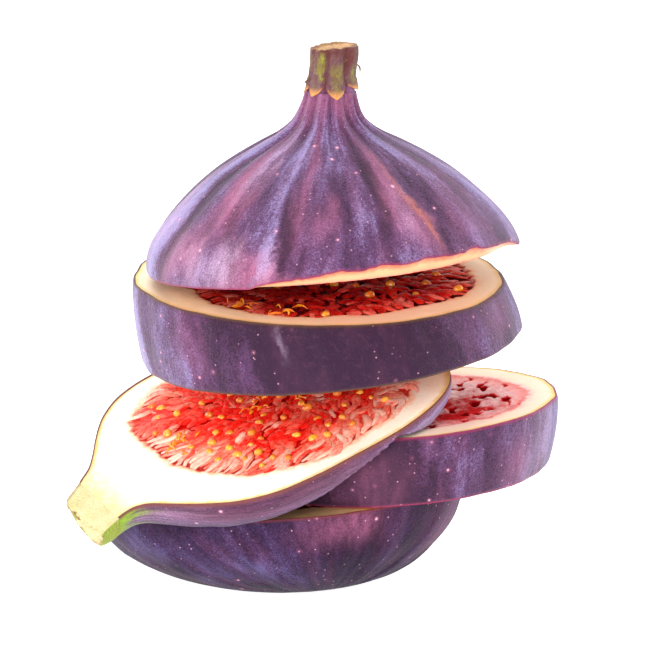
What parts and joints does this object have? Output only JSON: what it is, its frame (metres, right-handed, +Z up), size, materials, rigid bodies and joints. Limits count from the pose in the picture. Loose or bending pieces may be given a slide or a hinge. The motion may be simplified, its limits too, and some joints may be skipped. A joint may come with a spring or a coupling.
{
  "type": "fresh fig",
  "caption": "Dark purple fresh fig cut crosswise and restacked, with a lengthwise fig half leaning between the slices and the stalk still on the cap.",
  "frame": {"origin": "middle of the small flat spot under the base piece, on the surface the stack stands on", "axes": "+Z up through the stack to the stalk, +X to the side the lower slice sticks out, +Y away from the side where the pieces stand open"},
  "size_m": [0.0721, 0.0682, 0.0813],
  "materials": {
    "base_skin": "plum fig skin with a pale lavender bloom; stands in for fruit",
    "lower_skin": "plum fig skin with a pale lavender bloom, cream flesh and wet red pulp on the cuts; stands in for fruit",
    "half_flesh": "moist cream flesh round glossy red pulp with golden seeds; stands in for fruit",
    "neck_green": "yellow-green cut neck; stands in for fruit",
    "upper_skin": "dark plum fig skin with bloom, cream flesh and dark red pulp on the cuts; stands in for fruit",
    "cap_skin": "purple-magenta fig skin with bloom, streaks and pale dots; stands in for fruit",
    "stalk_green": "green and brown fibrous stalk",
    "scale_tan": "dry tan scales"
  },
  "bodies": {
    "root": {"base": "base_skin", "lower_slice": "lower_skin", "half": "half_flesh", "half_stalk": "neck_green", "upper_slice": "upper_skin", "cap": "cap_skin", "cap_stalk": "stalk_green", "cap_bracts": "scale_tan"}
  },
  "joints": []
}
